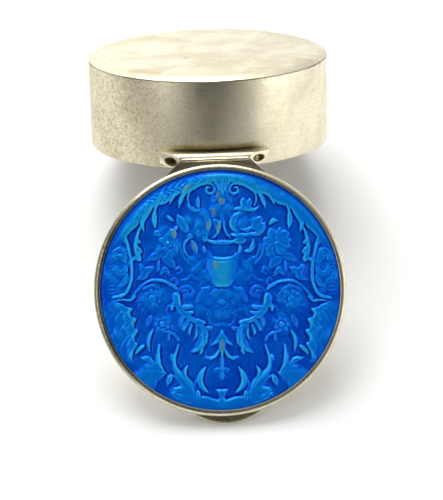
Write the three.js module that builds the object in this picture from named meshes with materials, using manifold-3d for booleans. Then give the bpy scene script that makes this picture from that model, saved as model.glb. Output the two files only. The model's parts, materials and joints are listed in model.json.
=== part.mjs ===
// A round silver pill box with a guilloche enamel lid, standing open like a tent:
// the lid leans forward on its thumb piece and the box leans back on its mouth rim.
// Millimetres. Every piece is drawn in the closed box's own frame: the mouth is the
// plane z = 0, the base is below it, the closed lid above it, the hinge on the +Y side.
// The whole box is then tipped over, so that it stands on its two feet at z = 0.
import * as THREE from 'three';
import { mergeVertices } from 'three/addons/utils/BufferGeometryUtils.js';
import Module from 'manifold-3d';

const wasm = await Module();
wasm.setup();

// Driving dimensions
const boxRadius = 18;
const wallHeight = 12.85;
const wallThickness = 0.8;
const rimEdgeRadius = 0.3;
const baseThickness = 0.85;
const baseEdgeRadius = 0.45;
const seamGap = 0.05;

const lidPlateThickness = 0.6;
const lidEdgeRadius = 0.15;
const flangeDepth = 0.7;
const flangeThickness = 0.6;
const flangeClearance = 0.1;
const bezelWidth = 0.92;
const enamelLevel = 1.5;
const enamelEdgeRadius = 0.2;
const plaqueLip = 0.14;
const bezelCrest = 0.26;
const bezelFlatWidth = 0.19;
const bezelLipRise = 0.08;

const hingeDrop = 1.7;
const knuckleRadius = 0.95;
const channelWall = 0.3;
const rollWall = 0.2;
const leafThickness = 0.5;
const leafHalfWidth = 4.55;
const leafRootHalfWidth = 7.2;
const bearerHalfWidth = 7.9;
const bearerRise = 0.6;
const pinLeftOverhang = 0.85;
const pinRightOverhang = 1.75;

const thumbRadius = 7.9;
const thumbReach = 1.1;
const thumbEdgeRadius = 0.2;
const thumbTurnDegrees = 1.5;

const openDegrees = 110.7;
const runningGap = 0.05;
const footWear = 0.15;
const overrun = 1;

const roundSteps = 96;
const hingeSteps = 24;
const cornerSteps = 3;

// Sizes that follow from them
const insideRadius = boxRadius - wallThickness;
const enamelRadius = boxRadius - bezelWidth;
const baseTop = -wallHeight - seamGap;
const baseBottom = baseTop - baseThickness;
const lidUnderside = runningGap;
const lidPlateTop = lidUnderside + lidPlateThickness;
const hingeY = boxRadius + knuckleRadius;
const hingeZ = -hingeDrop;
const channelBoreRadius = knuckleRadius - channelWall;
const leafRollRadius = channelBoreRadius - runningGap;
const pinHoleRadius = leafRollRadius - rollWall;
const pinRadius = pinHoleRadius - runningGap;
const openAngle = THREE.MathUtils.degToRad(openDegrees);

// An arc of a profile's rounded corner, from one angle to another, as [radius, height] points
function corner(centreR, centreZ, radius, fromDegrees, toDegrees) {
  const points = [];
  for (let i = 0; i <= cornerSteps; i += 1) {
    const turn = THREE.MathUtils.degToRad(fromDegrees + ((toDegrees - fromDegrees) * i) / cornerSteps);
    points.push([centreR + radius * Math.cos(turn), centreZ + radius * Math.sin(turn)]);
  }
  return points;
}

// A turned solid about the Z axis, with the middle of a facet at +Y and at -Y
function turned(profile, steps = roundSteps) {
  const points = profile.map(([r, z]) => new THREE.Vector2(Math.max(r, 0), z));
  const start = Math.PI / steps;
  const geometry = new THREE.LatheGeometry(points, steps, start);
  geometry.rotateX(Math.PI / 2);
  return geometry;
}

// A flat outline of [y, z] points, carried along X from one place to another
function alongX(outline, fromX, toX) {
  const shape = new THREE.Shape(outline.map(([y, z]) => new THREE.Vector2(y, z)));
  const geometry = new THREE.ExtrudeGeometry(shape, { depth: toX - fromX, bevelEnabled: false });
  geometry.applyMatrix4(new THREE.Matrix4().makeBasis(
    new THREE.Vector3(0, 1, 0), new THREE.Vector3(0, 0, 1), new THREE.Vector3(1, 0, 0)));
  return geometry.translate(fromX, 0, 0);
}

// A flat outline of [x, y] points, raised from one height to another
function upright(outline, fromZ, toZ) {
  const shape = new THREE.Shape(outline.map(([x, y]) => new THREE.Vector2(x, y)));
  const geometry = new THREE.ExtrudeGeometry(shape, { depth: toZ - fromZ, bevelEnabled: false });
  return geometry.translate(0, 0, fromZ);
}

// A bar of round section on the hinge axis
function hingeRound(radius, fromX, toX) {
  const outline = [];
  for (let i = 0; i < hingeSteps; i += 1) {
    const turn = (2 * Math.PI * i) / hingeSteps;
    outline.push([hingeY + radius * Math.cos(turn), hingeZ + radius * Math.sin(turn)]);
  }
  return alongX(outline, fromX, toX);
}

function solid(geometry) {
  const bare = geometry.clone();
  bare.deleteAttribute('normal');
  bare.deleteAttribute('uv');
  const merged = mergeVertices(bare, 1e-5);
  return new wasm.Manifold(new wasm.Mesh({
    numProp: 3,
    vertProperties: new Float32Array(merged.attributes.position.array),
    triVerts: new Uint32Array(merged.index.array),
  }));
}

function surface(manifold) {
  const mesh = manifold.getMesh();
  const geometry = new THREE.BufferGeometry();
  geometry.setAttribute('position', new THREE.BufferAttribute(mesh.vertProperties, 3));
  geometry.setIndex(new THREE.BufferAttribute(mesh.triVerts, 1));
  return geometry;
}

// The round body of the box, which its neighbours are cut back from
function drum(radius, fromZ, toZ) {
  return solid(turned([[0, fromZ], [radius, fromZ], [radius, toZ], [0, toZ]]));
}

// The band of the box, open at both ends, with a rounded mouth rim
function boxWall() {
  const outerRim = corner(boxRadius - rimEdgeRadius, -rimEdgeRadius, rimEdgeRadius, 0, 90);
  const innerRim = corner(insideRadius + rimEdgeRadius, -rimEdgeRadius, rimEdgeRadius, 90, 180);
  const profile = [[insideRadius, -wallHeight], [boxRadius, -wallHeight], ...outerRim, ...innerRim];
  return turned([...profile, profile[0]]);
}

// The flat base plate, rounded at its outer edge
function boxBase() {
  const edge = corner(boxRadius - baseEdgeRadius, baseBottom + baseEdgeRadius, baseEdgeRadius, -90, 0);
  return turned([[0, baseBottom], ...edge, [boxRadius, baseTop], [0, baseTop]]);
}

// The wedge that the lid's leaf sweeps from closed to open, as an outline round the hinge axis
function leafSweep() {
  const half = leafThickness / 2 + runningGap;
  const far = 4 * knuckleRadius;
  const outward = [Math.sin(openAngle), Math.cos(openAngle)];
  const aside = [Math.cos(openAngle), -Math.sin(openAngle)];
  const points = [
    [-half, 0],
    [half * aside[0], half * aside[1]],
    [half * aside[0] + far * outward[0], half * aside[1] + far * outward[1]],
    [far, far],
    [-half, far],
  ];
  return points.map(([y, z]) => [hingeY + y, hingeZ + z]);
}

// The hinge channel on the box: a tube that is slit for the lid's leaf between its two ends,
// on a bearer filed to the round wall, with both ends cut off on the slant
function hingeBearer() {
  const slotHalf = leafHalfWidth + runningGap;
  const backY = insideRadius - wallThickness;
  const block = [
    [backY, hingeZ - knuckleRadius],
    [hingeY, hingeZ - knuckleRadius],
    [hingeY, hingeZ + bearerRise],
    [backY, hingeZ + bearerRise],
  ];
  const wide = bearerHalfWidth;
  const outerY = hingeY + knuckleRadius;
  const shoulderY = hingeY - knuckleRadius;
  const planHalf = leafHalfWidth + leafThickness / 2;
  const plan = [
    [-wide, backY], [wide, backY], [wide, shoulderY],
    [planHalf, outerY + runningGap], [-planHalf, outerY + runningGap], [-wide, shoulderY],
  ];
  return surface(solid(hingeRound(knuckleRadius, -wide, wide))
    .add(solid(alongX(block, -wide, wide)))
    .subtract(solid(hingeRound(channelBoreRadius, -slotHalf, slotHalf)))
    .subtract(solid(hingeRound(pinHoleRadius, -wide - overrun, wide + overrun)))
    .subtract(solid(alongX(leafSweep(), -slotHalf, slotHalf)))
    .subtract(drum(boxRadius + seamGap, baseBottom, overrun))
    .intersect(solid(upright(plan, hingeZ - 2 * knuckleRadius, hingeZ + 2 * knuckleRadius))));
}

// The hinge pin, flush at one end of the channel and short of the other
function hingePin() {
  return hingeRound(pinRadius, -leafHalfWidth - pinLeftOverhang, leafHalfWidth + pinRightOverhang);
}

// How near the hinge the lid's flange can come and still swing clear of the mouth rim
function flangeEndY() {
  const rimHeight = hingeDrop;
  const flangeHeight = hingeDrop - flangeDepth;
  const reach = (rimHeight ** 2 - flangeHeight ** 2) / (2 * flangeClearance);
  return Math.max(hingeY - reach - flangeThickness, 0);
}

// The lid's plate, with the low flange under it that fits inside the mouth
function lidPlate() {
  const bottom = corner(boxRadius - lidEdgeRadius, lidUnderside + lidEdgeRadius, lidEdgeRadius, -90, 0);
  const plate = turned([[0, lidUnderside], ...bottom, [boxRadius, lidPlateTop], [0, lidPlateTop]]);
  const outer = insideRadius - flangeClearance;
  const inner = outer - flangeThickness;
  const middle = lidPlateTop - lidPlateThickness / 2;
  const lip = corner(outer - lidEdgeRadius, lidEdgeRadius - flangeDepth, lidEdgeRadius, -90, 0);
  const profile = [[inner, -flangeDepth], ...lip, [outer, middle], [inner, middle]];
  const ring = turned([...profile, profile[0]]);
  const cutY = flangeEndY();
  const far = boxRadius + overrun;
  const hingeSide = [[-far, cutY], [far, cutY], [far, far], [-far, far]];
  const cut = upright(hingeSide, -flangeDepth - overrun, middle + overrun);
  return surface(solid(plate).add(solid(ring).subtract(solid(cut))));
}

// The rim that holds the enamel: a rounded outer edge, a crest and a slope down to the enamel
function lidBezel() {
  const seat = enamelRadius + plaqueLip + seamGap;
  const foot = lidPlateTop + seamGap;
  const crestZ = enamelLevel + bezelCrest;
  const edge = corner(boxRadius - bezelCrest, crestZ - bezelCrest, bezelCrest, 0, 90);
  const profile = [
    [seat, foot], [boxRadius, foot], ...edge,
    [boxRadius - bezelCrest - bezelFlatWidth, crestZ - seamGap],
    [enamelRadius + bezelLipRise, enamelLevel + bezelLipRise],
    [enamelRadius, enamelLevel + seamGap],
    [seat, enamelLevel - enamelEdgeRadius + seamGap],
  ];
  return turned([...profile, profile[0]]);
}

// The enamelled plaque, a flat disc with a softly rounded edge under the bezel's lip
function enamelPlaque() {
  const radius = enamelRadius + plaqueLip;
  const foot = lidPlateTop + seamGap;
  const edge = corner(radius - enamelEdgeRadius, enamelLevel - enamelEdgeRadius, enamelEdgeRadius, 0, 90);
  return turned([[0, foot], [radius, foot], ...edge, [0, enamelLevel]]);
}

// The lid's leaf: a plate with slanting sides, a leg down from its edge and the roll round the pin
function lidHingeLeaf() {
  const half = leafThickness / 2;
  const outerY = hingeY + half;
  const rootY = Math.sqrt(boxRadius ** 2 - leafRootHalfWidth ** 2);
  const inY = rootY - overrun;
  const plan = [
    [-leafRootHalfWidth, inY], [leafRootHalfWidth, inY], [leafRootHalfWidth, rootY],
    [leafHalfWidth, outerY], [-leafHalfWidth, outerY], [-leafRootHalfWidth, rootY],
  ];
  const leg = [
    [hingeY - half, hingeZ], [outerY, hingeZ],
    [outerY, lidPlateTop], [hingeY - half, lidPlateTop],
  ];
  return surface(solid(upright(plan, lidUnderside, lidPlateTop))
    .add(solid(alongX(leg, -leafHalfWidth, leafHalfWidth)))
    .add(solid(hingeRound(leafRollRadius, -leafHalfWidth, leafHalfWidth)))
    .subtract(solid(hingeRound(pinHoleRadius, -leafHalfWidth - overrun, leafHalfWidth + overrun)))
    .subtract(drum(boxRadius + seamGap, -overrun, lidPlateTop + overrun)));
}

// The crescent that lifts the lid, a slice of a small disc past the bezel's edge
function thumbPiece() {
  const r = thumbEdgeRadius;
  const low = corner(thumbRadius - r, lidUnderside + r, r, -90, 0);
  const high = corner(thumbRadius - r, lidPlateTop - r, r, 0, 90);
  const disc = turned([[0, lidUnderside], ...low, ...high, [0, lidPlateTop]]);
  disc.translate(0, thumbRadius - boxRadius - thumbReach, 0);
  disc.rotateZ(THREE.MathUtils.degToRad(thumbTurnDegrees));
  return surface(solid(disc).subtract(drum(boxRadius + seamGap, -overrun, lidPlateTop + overrun)));
}

// A point of the closed lid, carried round the hinge to where the open lid has it
function opened(y, z) {
  const dy = y - hingeY;
  const dz = z - hingeZ;
  return [
    hingeY + dy * Math.cos(openAngle) + dz * Math.sin(openAngle),
    hingeZ - dy * Math.sin(openAngle) + dz * Math.cos(openAngle),
  ];
}

// The tilt and height at which the open box stands on its rim and its thumb piece: the line
// that touches the two rounded edges becomes the table
function standing() {
  const rim = [-(boxRadius - rimEdgeRadius), -rimEdgeRadius];
  const thumb = opened(-(boxRadius + thumbReach - thumbEdgeRadius), lidUnderside + thumbEdgeRadius);
  const along = [thumb[0] - rim[0], thumb[1] - rim[1]];
  const apart = Math.hypot(...along);
  const lean = Math.atan2(along[1], along[0]) + Math.asin((thumbEdgeRadius - rimEdgeRadius) / apart);
  const up = [Math.sin(lean), -Math.cos(lean)];
  const height = rim[0] * up[0] + rim[1] * up[1] - rimEdgeRadius;
  return { turn: Math.PI - lean, rise: -height - footWear };
}

const silver = { color: 0xb9b3a3, metalness: 1.0, roughness: 0.38 };
const darkSilver = { color: 0x8a8272, metalness: 1.0, roughness: 0.5 };
const enamel = { color: 0x0a5fd0, metalness: 0.2, roughness: 0.15 };

function piece(name, geometry, look, group) {
  const mesh = new THREE.Mesh(geometry, new THREE.MeshStandardMaterial(look));
  mesh.name = name;
  group.add(mesh);
  return mesh;
}

const stance = standing();
const assembly = new THREE.Group();
const tipped = new THREE.Group();
tipped.rotation.x = stance.turn;
tipped.position.z = stance.rise;
assembly.add(tipped);

const lid = new THREE.Group();
lid.position.set(0, hingeY, hingeZ);
lid.rotation.x = -openAngle;
const lidFrame = new THREE.Group();
lidFrame.position.set(0, -hingeY, -hingeZ);
lid.add(lidFrame);
tipped.add(lid);

const wall = piece('box_wall', boxWall(), silver, tipped);
piece('box_base', boxBase(), silver, tipped);
piece('hinge_bearer', hingeBearer(), silver, tipped);
piece('hinge_pin', hingePin(), darkSilver, tipped);
piece('lid_plate', lidPlate(), silver, lidFrame);
piece('lid_bezel', lidBezel(), silver, lidFrame);
piece('enamel_plaque', enamelPlaque(), enamel, lidFrame);
piece('lid_hinge_leaf', lidHingeLeaf(), silver, lidFrame);
const thumb = piece('thumb_piece', thumbPiece(), silver, lidFrame);

// The small worn flats where the rim and the thumb piece stand on the table
assembly.updateMatrixWorld(true);
for (const foot of [wall, thumb]) {
  const slab = new THREE.BoxGeometry(6 * boxRadius, 6 * boxRadius, boxRadius);
  slab.translate(0, 0, -boxRadius / 2);
  slab.applyMatrix4(foot.matrixWorld.clone().invert());
  foot.geometry = surface(solid(foot.geometry).subtract(solid(slab)));
}

// The origin is under the middle of the standing box
const extent = new THREE.Box3().setFromObject(assembly, true);
tipped.position.y = -(extent.min.y + extent.max.y) / 2;

export default assembly;
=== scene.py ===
# A round silver pill box with a blue enamelled lid, standing open like a tent.
# Pieces are modelled in millimetres in the closed box's own frame: the mouth is the plane
# z = 0, the base is below it, the lid above it, the hinge on the +Y side. Each mesh is then
# carried into the row frame, on the box or on its open lid.
import json
import math

import bmesh
import bpy
import numpy as np
from mathutils import Matrix, Vector


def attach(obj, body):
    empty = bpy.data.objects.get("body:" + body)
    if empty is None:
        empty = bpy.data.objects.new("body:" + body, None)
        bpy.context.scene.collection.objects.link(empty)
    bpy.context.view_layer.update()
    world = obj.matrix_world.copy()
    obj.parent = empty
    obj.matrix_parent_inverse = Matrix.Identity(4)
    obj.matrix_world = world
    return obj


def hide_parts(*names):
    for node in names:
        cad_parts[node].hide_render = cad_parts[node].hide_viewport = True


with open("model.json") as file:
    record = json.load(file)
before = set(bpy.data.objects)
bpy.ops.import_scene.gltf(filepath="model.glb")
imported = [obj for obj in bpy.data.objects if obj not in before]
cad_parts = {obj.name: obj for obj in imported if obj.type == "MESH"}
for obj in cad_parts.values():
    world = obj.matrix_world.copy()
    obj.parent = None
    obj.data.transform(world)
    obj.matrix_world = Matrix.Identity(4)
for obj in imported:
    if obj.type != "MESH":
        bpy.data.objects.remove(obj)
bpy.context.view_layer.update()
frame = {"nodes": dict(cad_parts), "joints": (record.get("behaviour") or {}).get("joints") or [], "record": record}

# Sizes of the closed box, in millimetres
MM = 0.001
BOX_RADIUS = 18.0
WALL_HEIGHT = 12.85
WALL_THICKNESS = 0.8
RIM_EDGE = 0.3
BASE_THICKNESS = 0.85
SEAM_GAP = 0.05
BASE_TOP = -WALL_HEIGHT - SEAM_GAP
BASE_BOTTOM = BASE_TOP - BASE_THICKNESS
SEAM_EDGE = 0.05
# The base's outer face, from its middle to its edge, as radius and height
BASE_FACE = ((0, -13.62), (14.0, -13.60), (16.3, -13.54), (16.85, -13.45), (17.3, -13.28), (17.75, -13.08))
INSIDE_RADIUS = BOX_RADIUS - WALL_THICKNESS
SEAM_STEPS = 3

LID_UNDERSIDE = 0.05
LID_PLATE_TOP = 0.65
LID_EDGE = 0.15
FLANGE_OUTSIDE = 17.1
FLANGE_INSIDE = 16.5
FLANGE_DEPTH = 0.7
FLANGE_END_Y = 8.9
FLANGE_ROOT = 0.1
FLANGE_STEPS = 4
BEZEL_FOOT = 0.7
BEZEL_WIDTH = 0.92
ENAMEL_RADIUS = BOX_RADIUS - BEZEL_WIDTH
ENAMEL_LEVEL = 1.5
PLAQUE_RADIUS = 17.22
SEAT_TOP = 1.35
BEZEL_LIP = (1.45, 1.60)
# The rim's shoulder, from its crest outwards, as radius and height
BEZEL_SHOULDER = (
    (17.14, 1.71), (17.27, 1.76), (17.48, 1.74), (17.66, 1.68), (17.80, 1.59), (17.90, 1.46),
    (17.96, 1.31), (17.99, 1.16), (BOX_RADIUS, 1.0))

# The rib on the lid's hinge leaf, and the thumb piece with its lip
RIB_HALF = 4.95
RIB_Y = 18.68
RIB_FOOT = 0.60
RIB_RADIUS = 0.30
RIB_SLANT = 1.0
RIB_STEPS = 12
RIB_EDGE = 0.06
RIB_END_ANGLE = math.radians(60)

THUMB_RADIUS = 7.9
THUMB_REACH = 1.1
THUMB_MIDDLE = THUMB_RADIUS - BOX_RADIUS - THUMB_REACH
THUMB_TURN = math.radians(1.5)
THUMB_HALF_SWEEP = math.radians(43)
LIP_RADIUS = 0.17
LIP_LEVEL = LID_PLATE_TOP - 0.05
LIP_STEPS = 12

PIN_Y = 18.95
PIN_Z = -1.7
HINGE_EDGE = 0.05

# How finely shapes are made, and the distances and angles at which points and faces are one
SPIN_STEPS = 256
LEAST_SPIN_STEPS = 8
ARC_STEPS = 8
PLAQUE_CELLS = 300
SPIN_MERGE = 1e-4
NODE_MERGE = 0.002
CUT_DISTANCE = 1e-5
EDGE_SEGMENTS = 2
FLAT_ANGLE = math.radians(2)
SHARP_ANGLE = math.radians(32)
SMOOTH_DEGREES = 40
RELIEF_SMOOTH_DEGREES = 75

# The camera that fits the photograph, placed in the row frame
CAMERA_PLACE_MM = (-10.717, -207.131, 246.046)
CAMERA_TURN_DEGREES = (39.82111, -0.26999, -2.98020)
CAMERA_LENS = 151.67
CAMERA_SENSOR = 36.0


def box_place():
    """The closed box's frame in the row frame, from the record's base mount."""
    mount = frame["record"]["mounts"][0]
    down = Vector(mount["axis"])
    tilt = math.atan2(down.y, -down.z)
    origin = Vector(mount["pos_m"]) + down * (BASE_BOTTOM * MM)
    return Matrix.Translation(origin) @ Matrix.Rotation(tilt, 4, "X") @ Matrix.Scale(MM, 4)


def lid_place(box):
    """The open lid's frame: the box's, turned about the hinge by the joint's full range."""
    joint = frame["joints"][0]
    hinge = box.inverted() @ Vector(joint["pos_m"])
    opening = Matrix.Rotation(-math.radians(joint["range_deg"][1]), 4, "X")
    return box @ Matrix.Translation(hinge) @ opening @ Matrix.Translation(-hinge)


BOX = box_place()
LID = lid_place(BOX)
PLACES = {"box": BOX, "lid": LID}


# Shader maths
class Value:
    """A socket of a material, on which sums are written as in Python."""

    def __init__(self, finish, socket):
        self.finish = finish
        self.socket = socket

    def sum(self, operation, *values):
        return self.finish.node("ShaderNodeMath", {"operation": operation}, dict(enumerate(values)))

    def __add__(self, other):
        return self.sum("ADD", self, other)

    def __radd__(self, other):
        return self.sum("ADD", other, self)

    def __sub__(self, other):
        return self.sum("SUBTRACT", self, other)

    def __rsub__(self, other):
        return self.sum("SUBTRACT", other, self)

    def __mul__(self, other):
        return self.sum("MULTIPLY", self, other)

    def __rmul__(self, other):
        return self.sum("MULTIPLY", other, self)

    def __pow__(self, other):
        return self.sum("POWER", self, other)


class Room:
    """A node tree being filled, by one method that adds any node."""

    def __init__(self, tree):
        self.tree = tree

    def node(self, kind, settings=None, inputs=None, output=0):
        node = self.tree.nodes.new(kind)
        for name, value in (settings or {}).items():
            setattr(node, name, value)
        for key, value in (inputs or {}).items():
            self.feed(node.inputs[key], value)
        return Value(self, node.outputs[output])

    def feed(self, socket, value):
        if isinstance(value, Value):
            self.tree.links.new(value.socket, socket)
        else:
            socket.default_value = value

    def stretched(self, vector, stretch, turn=(0.0, 0.0, 0.0)):
        """A place with its axes scaled, and turned first if need be."""
        turned = self.node("ShaderNodeMapping", {"vector_type": "POINT"}, {
            "Vector": vector, "Rotation": turn})
        return self.node("ShaderNodeVectorMath", {"operation": "MULTIPLY"}, {
            0: turned, 1: stretch})

    def noise(self, vector, scale, detail, roughness=0.5, distortion=0.0):
        """Soft cloudy noise about 0.5."""
        return self.node("ShaderNodeTexNoise", None, {
            "Vector": vector, "Scale": scale, "Detail": detail, "Roughness": roughness,
            "Distortion": distortion})

    def cells(self, vector, scale):
        """How far a place is from the nearest of many scattered points."""
        return self.node("ShaderNodeTexVoronoi", None, {"Vector": vector, "Scale": scale})

    def ramp(self, value, low, high, to_low=0.0, to_high=1.0):
        """A value run from one range to another, smoothly and within its ends."""
        return self.node("ShaderNodeMapRange", {"interpolation_type": "SMOOTHSTEP"}, {
            "Value": value, "From Min": low, "From Max": high, "To Min": to_low, "To Max": to_high})

    def mix(self, factor, under, over):
        """One colour over another by a factor."""
        settings = {"data_type": "RGBA", "clamp_factor": True}
        return self.node("ShaderNodeMix", settings, {0: factor, 6: under, 7: over}, 2)

    def size(self, value):
        """How far a value is from nought."""
        return self.node("ShaderNodeMath", {"operation": "ABSOLUTE"}, {0: value})

    def near(self, value, centre, reach):
        """1 where a value is at the centre, falling to 0 at the reach on either side."""
        return self.ramp(self.size(value - centre), reach, 0.0)

    def split(self, vector):
        """A vector's three parts."""
        node = self.tree.nodes.new("ShaderNodeSeparateXYZ")
        self.feed(node.inputs[0], vector)
        return [Value(self, output) for output in node.outputs]


class Finish(Room):
    """A material being made, round its one shader."""

    def __init__(self, name, **constants):
        self.material = bpy.data.materials.new(name)
        self.material.use_nodes = True
        super().__init__(self.material.node_tree)
        self.shader = self.tree.nodes["Principled BSDF"]
        for socket, value in constants.items():
            self.shader.inputs[socket.replace("_", " ")].default_value = value

    def place(self, matrix):
        """Object coordinates, brought into a piece's own frame in millimetres."""
        where, turn, scale = matrix.decompose()
        here = self.node("ShaderNodeTexCoord", output=3)
        return self.node("ShaderNodeMapping", {"vector_type": "TEXTURE"}, {
            "Vector": here, "Location": where, "Rotation": turn.to_euler(), "Scale": scale})

    def attribute(self, name):
        """A number that the mesh holds at each of its points."""
        return self.node("ShaderNodeAttribute", {"attribute_name": name}, None, 2)

    def bump(self, height, distance):
        return self.node("ShaderNodeBump", None, {"Height": height, "Distance": distance})

    def surface(self, **sockets):
        """The finished material, with what varies over it fed to the shader."""
        for name, value in sockets.items():
            self.feed(self.shader.inputs[name.replace("_", " ")], value)
        return self.material


# Colours of the silver and of what has settled on it
SILVER_BRIGHT = (0.86, 0.81, 0.62, 1.0)
SILVER_WARM = (0.62, 0.54, 0.36, 1.0)
SILVER_DULL = (0.42, 0.37, 0.25, 1.0)
TARNISH = (0.12, 0.09, 0.04, 1.0)
OLIVE = (0.32, 0.25, 0.085, 1.0)
STAIN = (0.40, 0.27, 0.18, 1.0)
SPECK = (0.22, 0.19, 0.12, 1.0)
GRIME = (0.045, 0.033, 0.012, 1.0)
FILM = (0.27, 0.26, 0.18, 1.0)

# Colours of the enamel, from where it pools and takes painted shade to where it is thinnest and takes a painted
# highlight
DEEP_BLUE = (0.0, 0.045, 0.48, 1.0)
VIOLET_BLUE = (0.0, 0.095, 0.80, 1.0)
GROUND_BLUE = (0.0, 0.150, 0.92, 1.0)
AZURE = (0.0, 0.24, 1.0, 1.0)
PALE_BLUE = (0.02, 0.56, 1.0, 1.0)
WORN_ENAMEL = (0.15, 0.31, 0.21, 1.0)

# Scales of the silver's patterns, in marks to a millimetre
CLOUD_SCALE = 0.16
MOTTLE_SCALE = 1.3
COARSE_SPECK_SCALE = 2.2
SPECKLE_SCALE = 5.0
PIT_SCALE = 0.9
CLOSE_PIT_SCALE = 2.6
# The finer brushing against the coarse, the way of the scratches, and the depth in metres
FINER_BRUSHING = 3.1
SCRATCH_STRETCH = (0.35, 9.0, 9.0)
SCRATCH_TURN = (0.4, 0.2, 0.7)
SILVER_BUMP = 0.000012
# Scales of the enamel's patterns, in marks to a millimetre, and their depth in metres
GRAIN_SCALE = 4.5
FLECK_SCALE = 2.4
BLOTCH_SCALE = 1.1
SHADE_SCALE = 0.22
STIPPLE_SCALE = 2.7
ENAMEL_BUMP = 0.00004

# Reaches of dirt, in millimetres, on both sides of the seam; and of the painted shade, with some dirt, that
# darkens the silver just outside the lid's rim, along the bezel's foot
SEAM_DIRT = 0.16
RIM_SHADE_AND_DIRT = (0.36, 0.10)
# The oil in the pin's bore, and a drop spilt above it at the channel's left end. Oil runs from
# one squared radius to another, and the drop also from one x to another.
BORE_OIL = (0.36, 0.22)
SPILT_OIL = (0.36, 0.20)
SPILL_SHIFT = (0.1, 0.28)
SPILL_END = (-5.0, -5.4)
# The range of y over which the dirt beside the hinge comes in
HINGE_SIDE = (12.0, 15.0)


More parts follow.
